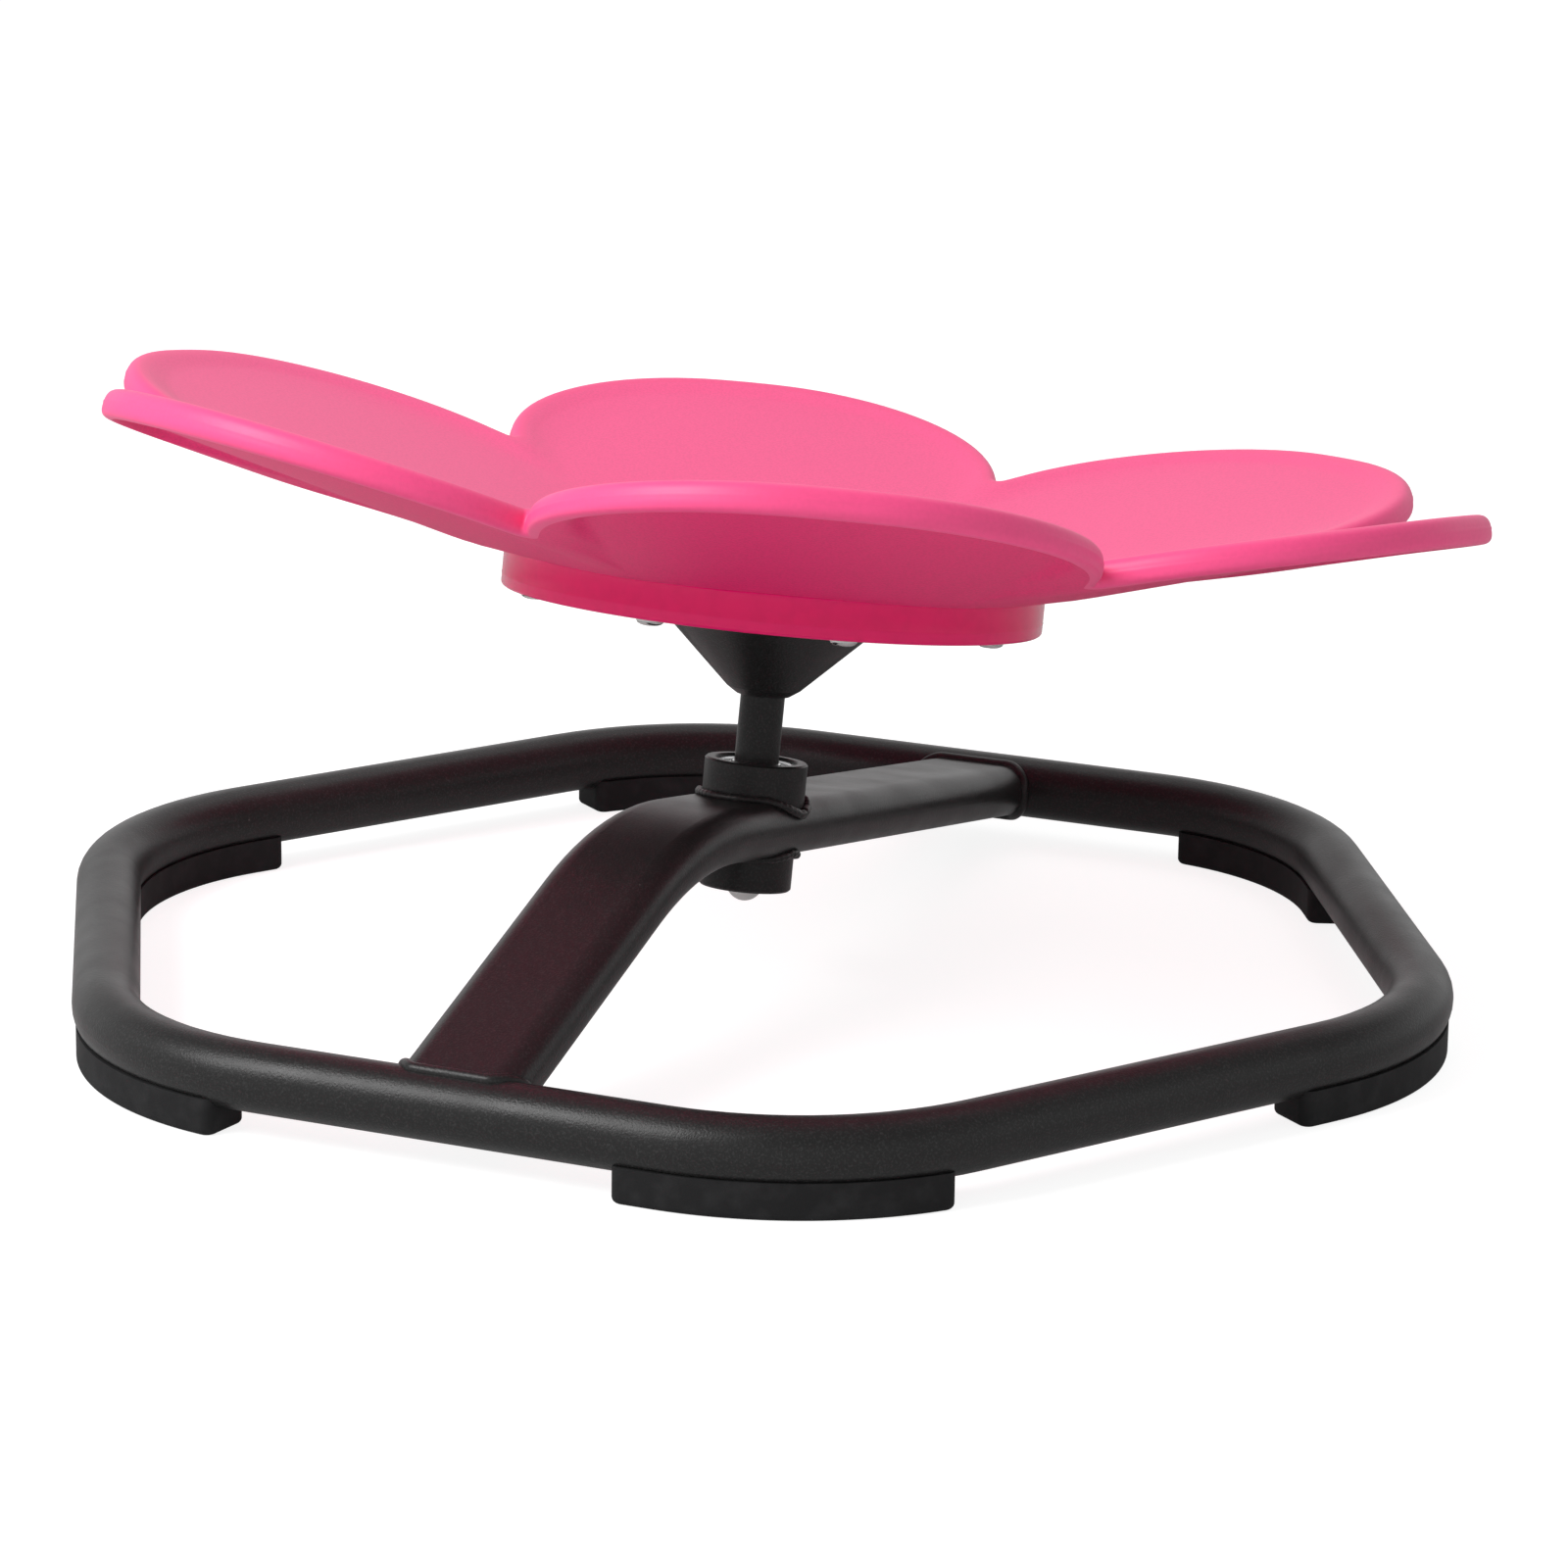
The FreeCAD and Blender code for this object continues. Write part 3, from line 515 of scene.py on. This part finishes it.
    # The drum, as radius and height, down its outside with a faint flow line and up its inside
    under = s.flat_middle - half_thick
    edge = s.drum_round
    mark = s.drum_bottom + 5.2 * MM
    mark_half, mark_proud = 0.5 * MM, 0.15 * MM
    chamfer = 0.5 * MM
    profile = []
    for k in range(1, 4):
        a = math.pi / 2 * k / 3
        profile.append((s.drum_r + edge * (1 - math.sin(a)), under - edge * (1 - math.cos(a))))
    profile += [(s.drum_r, mark + mark_half), (s.drum_r + mark_proud, mark), (s.drum_r, mark - mark_half)]
    for k in range(5):
        a = math.pi / 2 * k / 4
        profile.append((s.drum_r - edge * (1 - math.cos(a)), s.drum_bottom + edge * (1 - math.sin(a))))
    inner = s.drum_r - s.drum_wall
    profile += [(inner + chamfer, s.drum_bottom), (inner, s.drum_bottom + chamfer), (inner, s.plate_top)]
    profile += [(inner - s.drum_ledge, s.plate_top), (inner - s.drum_ledge, under), (0.0, under)]
    for r, h in profile:
        rings.append(np.column_stack([drum_way * r, np.full(len(line), h)]))
        zones.append(DRUM)

    count = len(line)
    faces, face_zones = [], []
    for j in range(len(rings) - 1):
        zone = zones[j] if zones[j] == RIM else zones[j + 1]
        for i in range(count - 1):
            a, b = j * count + i, j * count + i + 1
            faces.append((a, b, b + count, a + count))
            face_zones.append(zone)
    mesh = mesh_from("seat_sector", np.concatenate(rings), [], faces)
    mesh.attributes.new("zone", "INT", "FACE").data.foreach_set("value", face_zones)
    return mesh


def seat_tree():
    """Turns one petal round the axis as often as there are petals and joins them."""
    tree, sizes = start_tree("petal_ring", {"Petals": "Int", "Turn": "Float"})
    row = add(tree, "GeometryNodeMeshLine", {"Count": sizes["Petals"], "Offset": (0.0, 0.0, 0.0)})
    share = math_node(tree, "DIVIDE", 2 * math.pi, sizes["Petals"])
    index = add(tree, "GeometryNodeInputIndex").outputs["Index"]
    turn = turn_about_z(tree, math_node(tree, "MULTIPLY_ADD", index, share, sizes["Turn"]))
    place = {"Points": row.outputs["Mesh"], "Instance": sizes["Geometry"], "Rotation": turn}
    copies = add(tree, "GeometryNodeInstanceOnPoints", place)
    real = add(tree, "GeometryNodeRealizeInstances", {"Geometry": copies.outputs["Instances"]})
    close = {"Geometry": real.outputs["Geometry"], "Distance": 2 * SAME}
    joined = add(tree, "GeometryNodeMergeByDistance", close)
    zones = (
        (RIM, "polypropylene_satin"),
        (UNDER, "polypropylene_fine_grain"),
        (DRUM, "polypropylene_polished"),
    )
    end_tree(tree, joined.outputs["Geometry"], "polypropylene_grained", zones)
    return tree


class CHAIR_OT_seat(bpy.types.Operator):
    """Mould the six-petal seat with its rim, soft notches and drum"""

    bl_idname = "chair.make_seat"
    bl_label = "Seat"

    def execute(self, context):
        s = context.scene.chair_sizes
        seat = grow("seat_moulding", seat_sector(s), seat_tree(), {"Petals": s.petals, "Turn": s.petal_turn})
        mend(seat.data)
        seat.data.transform(LEAN)
        seat.data.set_sharp_from_angle(angle=math.radians(50))
        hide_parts("seat_shell")
        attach(seat, "seat")
        return {"FINISHED"}


def pan_head_screw(s):
    """One pan-head screw, head down, its bearing face at height 0, with a cross recess in the head."""
    turns, rows = 48, 10
    fullness, skirt = 0.75, 0.28
    chamfer, point = 0.3 * MM, 1.0 * MM
    # The recess: half width and reach of its arms, each where its flank starts and ends, and its depth
    arm_half, arm_reach, arm_deep = (0.45 * MM, 0.75 * MM), (2.2 * MM, 3.0 * MM), 1.9 * MM
    crown = -1.0 * MM
    profile = []
    for k in range(rows + 1):
        a = math.pi / 2 * k / rows
        z = -s.screw_head_h * (skirt + (1 - skirt) * math.cos(a))
        profile.append((s.screw_head_r * math.sin(a) ** fullness, z))
    profile += [(s.screw_head_r, -chamfer), (s.screw_head_r - chamfer, 0.0), (s.screw_r, 0.0)]
    profile += [(s.screw_r, s.screw_length - point), (0.0, s.screw_length)]
    points, faces = [], []
    for r, z in profile:
        for k in range(turns):
            a = 2 * math.pi * k / turns
            x, y = r * math.cos(a), r * math.sin(a)
            arm = 1 - smoothstep(*arm_half, min(abs(x), abs(y)))
            end = 1 - smoothstep(*arm_reach, max(abs(x), abs(y)))
            deep = arm_deep * arm * end if z < crown else 0.0
            points.append((x, y, z + deep))
    for j in range(len(profile) - 1):
        for k in range(turns):
            a, b = j * turns + k, j * turns + (k + 1) % turns
            faces.append((a, b, b + turns, a + turns))
    mesh = mesh_from("pan_head_screw", points, [], faces)
    mend(mesh)
    return mesh


def screw_tree():
    """Sets screws on a circle, each driven to its own angle."""
    sizes = {"Count": "Int", "Circle": "Float", "Turn": "Float", "Height": "Float", "Seed": "Int"}
    tree, sizes = start_tree("screw_circle", sizes)
    circle = add(tree, "GeometryNodeMeshCircle", {"Vertices": sizes["Count"], "Radius": sizes["Circle"]})
    drive = add(tree, "FunctionNodeRandomValue", {2: 0.0, 3: math.pi / 2, "Seed": sizes["Seed"]})
    driven = turn_about_z(tree, drive.outputs[1])
    place = {"Points": circle.outputs["Mesh"], "Instance": sizes["Geometry"], "Rotation": driven}
    placed = add(tree, "GeometryNodeInstanceOnPoints", place)
    real = add(tree, "GeometryNodeRealizeInstances", {"Geometry": placed.outputs["Instances"]})
    move = {
        "Geometry": real.outputs["Geometry"],
        "Translation": turn_about_z(tree, sizes["Height"]),
        "Rotation": turn_about_z(tree, sizes["Turn"]),
    }
    moved = add(tree, "GeometryNodeTransform", move)
    end_tree(tree, moved.outputs["Geometry"], "zinc_plate")
    return tree


class CHAIR_OT_seat_screws(bpy.types.Operator):
    """Set the pan-head screws under the drum"""

    bl_idname = "chair.make_seat_screws"
    bl_label = "Seat screws"

    def execute(self, context):
        s = context.scene.chair_sizes
        values = {
            "Count": s.seat_screws,
            "Circle": s.screw_circle,
            "Turn": s.screw_turn,
            "Height": s.drum_bottom,
            "Seed": SEED,
        }
        screws = grow("seat_pan_head_screws", pan_head_screw(s), screw_tree(), values)
        screws.data.transform(LEAN)
        screws.data.set_sharp_from_angle(angle=math.radians(40))
        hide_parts("seat_screws")
        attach(screws, "seat")
        return {"FINISHED"}


def bead_line(node, count):
    """The closed line along the middle of a weld solid, as points and edges."""
    mesh = frame["nodes"][node].data
    centres = np.zeros(len(mesh.polygons) * 3)
    areas = np.zeros(len(mesh.polygons))
    mesh.polygons.foreach_get("center", centres)
    mesh.polygons.foreach_get("area", areas)
    centres = centres.reshape(-1, 3)
    middle = (centres * areas[:, None]).sum(axis=0) / areas.sum()
    axes = np.linalg.svd(centres - middle, full_matrices=False)[2]
    flat = (centres - middle) @ axes[:2].T
    flat /= np.sqrt((flat ** 2 * areas[:, None]).sum(axis=0))
    angles = np.arctan2(flat[:, 1], flat[:, 0])
    points = []
    for k in range(count):
        off = np.angle(np.exp(1j * (angles - 2 * math.pi * k / count)))
        weight = areas * np.exp(-(off / (math.pi / count)) ** 2)
        points.append((centres * weight[:, None]).sum(axis=0) / weight.sum())
    return points, [(k, (k + 1) % count) for k in range(count)]


def weld_tree():
    """Lays a rippled, slightly uneven bead along a closed line."""
    steps_per_ripple, round_points, lump = 7.0, 14, 9 * MM
    sizes = {"Radius": "Float", "Pitch": "Float", "Ripple": "Float", "Uneven": "Float", "Seed": "Float"}
    tree, sizes = start_tree("weld_bead", sizes)
    curve = add(tree, "GeometryNodeMeshToCurve", {"Mesh": sizes["Geometry"]})
    step = math_node(tree, "DIVIDE", sizes["Pitch"], steps_per_ripple)
    follow = {"Curve": curve.outputs["Curve"], "Length": step}
    fine = add(tree, "GeometryNodeResampleCurve", follow, mode="LENGTH")
    gone = add(tree, "GeometryNodeSplineParameter").outputs["Length"]
    saw = math_node(tree, "FRACT", math_node(tree, "DIVIDE", gone, sizes["Pitch"]))
    ripple = math_node(tree, "MULTIPLY", math_node(tree, "SUBTRACT", saw, 0.5), sizes["Ripple"])
    cloud = {"Scale": 1 / lump, "Detail": 1.5, "W": sizes["Seed"]}
    lumps = add(tree, "ShaderNodeTexNoise", cloud, noise_dimensions="4D").outputs["Fac"]
    uneven = math_node(tree, "MULTIPLY", math_node(tree, "SUBTRACT", lumps, 0.5), sizes["Uneven"])
    scale = math_node(tree, "ADD", math_node(tree, "ADD", ripple, uneven), 1.0)
    circle = {"Resolution": round_points, "Radius": sizes["Radius"]}
    section = add(tree, "GeometryNodeCurvePrimitiveCircle", circle)
    sweep = {"Curve": fine.outputs["Curve"], "Profile Curve": section.outputs["Curve"], "Scale": scale}
    bead = add(tree, "GeometryNodeCurveToMesh", sweep)
    end_tree(tree, bead.outputs["Mesh"], "powder_coat_black")
    return tree


class CHAIR_OT_welds(bpy.types.Operator):
    """Lay the weld beads round the bearing housing"""

    bl_idname = "chair.make_welds"
    bl_label = "Welds"

    def execute(self, context):
        s = context.scene.chair_sizes
        tree = weld_tree()
        line_points = 72
        # Node, radius, ripple and unevenness; the beads at the bar's ends are dressed smooth and stay solids
        welds = (
            ("weld_housing_top", s.housing_weld_r, 0.10, 0.7),
            ("weld_housing_bottom", s.housing_weld_r, 0.10, 0.7),
        )
        for number, (node, radius, ripple, uneven) in enumerate(welds):
            points, edges = bead_line(node, line_points)
            values = {
                "Radius": radius,
                "Pitch": s.weld_pitch,
                "Ripple": ripple,
                "Uneven": uneven,
                "Seed": SEED + 10.0 * number,
            }
            bead = grow(node + "_bead", mesh_from(node + "_line", points, edges, []), tree, values)
            mend(bead.data)
            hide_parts(node)
            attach(bead, "base")
        return {"FINISHED"}


FINISH_OF_SLOT = {
    "pink_moulded_plastic": "polypropylene_grained",
    "black_powder_coat": "powder_coat_black",
    "black_rubber": "rubber_black",
    "zinc_plated_steel": "zinc_plate",
    "bearing_steel": "bearing_steel",
}


class CHAIR_OT_finishes(bpy.types.Operator):
    """Give every solid that stays in view the finish of its material slot"""

    bl_idname = "chair.dress_solids"
    bl_label = "Finishes of the solids"

    def execute(self, context):
        for entry in frame["record"]["subparts"]:
            node = frame["nodes"][entry["node"]]
            node.data.materials.clear()
            node.data.materials.append(finish(FINISH_OF_SLOT[entry["material_slot"]]))
        return {"FINISHED"}


def look(position, right, down):
    """A matrix for a camera at a position, from its picture's right and down directions."""
    x = Vector(right).normalized()
    y = -Vector(down)
    y = (y - x * y.dot(x)).normalized()
    turn = Matrix((x, y, x.cross(y))).transposed().to_4x4()
    return Matrix.Translation(Vector(position)) @ turn


def soft_lamp(name, position, target, size, power):
    data = bpy.data.lights.new(name, "AREA")
    data.shape = "RECTANGLE"
    data.size, data.size_y = size
    data.energy = power
    lamp = new_object(name, data)
    aim = Vector(target) - Vector(position)
    lamp.matrix_world = Matrix.Translation(Vector(position)) @ aim.to_track_quat("-Z", "Y").to_matrix().to_4x4()


class CHAIR_OT_stage(bpy.types.Operator):
    """Put up the pale floor, the soft lamps and the camera"""

    bl_idname = "chair.make_stage"
    bl_label = "Stage"

    def execute(self, context):
        scene = context.scene
        scene.view_settings.view_transform = "Standard"
        far = 14.0
        corners = [(-far, -far, 0), (far, -far, 0), (far, far, 0), (-far, far, 0)]
        floor = new_object("floor", mesh_from("floor", corners, [], [(0, 1, 2, 3)]))
        floor.data.materials.append(self.paper(scene.chair_finishes.paper))
        self.room(scene)
        soft_lamp("lamp_key", (-1.12, -1.5, 1.75), (0.0, 0.0, 0.1), (1.15, 1.15), 54.0)
        soft_lamp("lamp_above", (-0.2, 1.4, 2.3), (0.0, 0.4, 0.1), (2.0, 1.6), 11.0)
        # The camera's place and lens, worked out from the photograph's perspective
        data = bpy.data.cameras.new("camera")
        data.sensor_width = 36.0
        data.lens = 133.31
        camera = new_object("camera", data)
        camera.matrix_world = look((0.9743, -2.1893, 0.7353), (0.9137, 0.4062, 0.0142), (0.1187, -0.2336, -0.9651))
        scene.camera = camera
        return {"FINISHED"}

    def paper(self, colour):
        """Matt white paper; for the eye and for reflections its shadows are softened and it is lifted to white."""
        shadow_share, eye_lift, mirror_lift = 0.42, 0.86, 0.25
        material, tree, shader, where = start_material("white_paper")
        tree.nodes.remove(shader)
        path = add(tree, "ShaderNodeLightPath").outputs
        direct = math_node(tree, "MAXIMUM", path["Is Camera Ray"], path["Is Transmission Ray"])
        seen = math_node(tree, "MAXIMUM", direct, path["Is Glossy Ray"])
        ends = {"Factor": seen, "A": rgba(colour), "B": rgba(tuple(shadow_share * c for c in colour))}
        shade = add(tree, "ShaderNodeMix", ends, data_type="RGBA")
        matt = add(tree, "ShaderNodeBsdfDiffuse", {"Color": shade.outputs["Result"]})
        mirrored = math_node(tree, "MULTIPLY", path["Is Glossy Ray"], mirror_lift)
        lift = math_node(tree, "MULTIPLY_ADD", direct, eye_lift, mirrored)
        glow = add(tree, "ShaderNodeEmission", {"Strength": lift})
        both = add(tree, "ShaderNodeAddShader", {0: matt.outputs["BSDF"], 1: glow.outputs["Emission"]})
        tree.links.new(both.outputs["Shader"], tree.nodes["Material Output"].inputs["Surface"])
        return material

    def room(self, scene):
        """A white backdrop round the object under a dim ceiling; its light on the object is softer."""
        world = bpy.data.worlds.new("studio")
        world.use_nodes = True
        tree = world.node_tree
        back = tree.nodes["Background"]
        back.inputs["Color"].default_value = (1.0, 1.0, 1.0, 1.0)
        way = add(tree, "ShaderNodeTexCoord").outputs["Generated"]
        split = add(tree, "ShaderNodeSeparateXYZ", {"Vector": way}).outputs
        # For reflections: white near the floor, dim overhead, and brighter behind the object than in front
        high = spread(tree, split["Z"], (0.4, 0.7), (1.0, 0.2))
        backdrop = math_node(tree, "MULTIPLY", high, spread(tree, split["Y"], (-0.4, 0.9), (0.6, 1.0)))
        # For the light on the object: most of it from low down
        fill = spread(tree, split["Z"], (0.1, 0.5), (0.8, 0.45))
        path = add(tree, "ShaderNodeLightPath").outputs
        mirrored = {"Factor": path["Is Glossy Ray"], "A": fill, "B": backdrop}
        level = add(tree, "ShaderNodeMix", mirrored, data_type="FLOAT").outputs["Result"]
        seen = math_node(tree, "MAXIMUM", path["Is Camera Ray"], path["Is Transmission Ray"])
        white = add(tree, "ShaderNodeMix", {"Factor": seen, "A": level, "B": 1.0}, data_type="FLOAT")
        tree.links.new(white.outputs["Result"], back.inputs["Strength"])
        scene.world = world


class CHAIR_PT_panel(bpy.types.Panel):
    """Sizes, finishes and makers of the chair"""

    bl_label = "Swivel chair"
    bl_idname = "CHAIR_PT_panel"
    bl_space_type = "VIEW_3D"
    bl_region_type = "UI"
    bl_category = "Chair"

    def draw(self, context):
        for group in (context.scene.chair_sizes, context.scene.chair_finishes):
            column = self.layout.column()
            for name in group.__annotations__:
                column.prop(group, name)
        for operator in OPERATORS:
            self.layout.operator(operator.bl_idname)


OPERATORS = (
    CHAIR_OT_finishes,
    CHAIR_OT_seat,
    CHAIR_OT_seat_screws,
    CHAIR_OT_welds,
    CHAIR_OT_stage,
)
CLASSES = (ChairSizes, ChairFinishes) + OPERATORS + (CHAIR_PT_panel,)


def register():
    for cls in CLASSES:
        bpy.utils.register_class(cls)
    bpy.types.Scene.chair_sizes = PointerProperty(type=ChairSizes)
    bpy.types.Scene.chair_finishes = PointerProperty(type=ChairFinishes)


def unregister():
    del bpy.types.Scene.chair_sizes
    del bpy.types.Scene.chair_finishes
    for cls in reversed(CLASSES):
        bpy.utils.unregister_class(cls)


def main():
    register()
    bpy.ops.chair.dress_solids()
    bpy.ops.chair.make_seat()
    bpy.ops.chair.make_seat_screws()
    bpy.ops.chair.make_welds()
    bpy.ops.chair.make_stage()


if __name__ == "__main__":
    main()
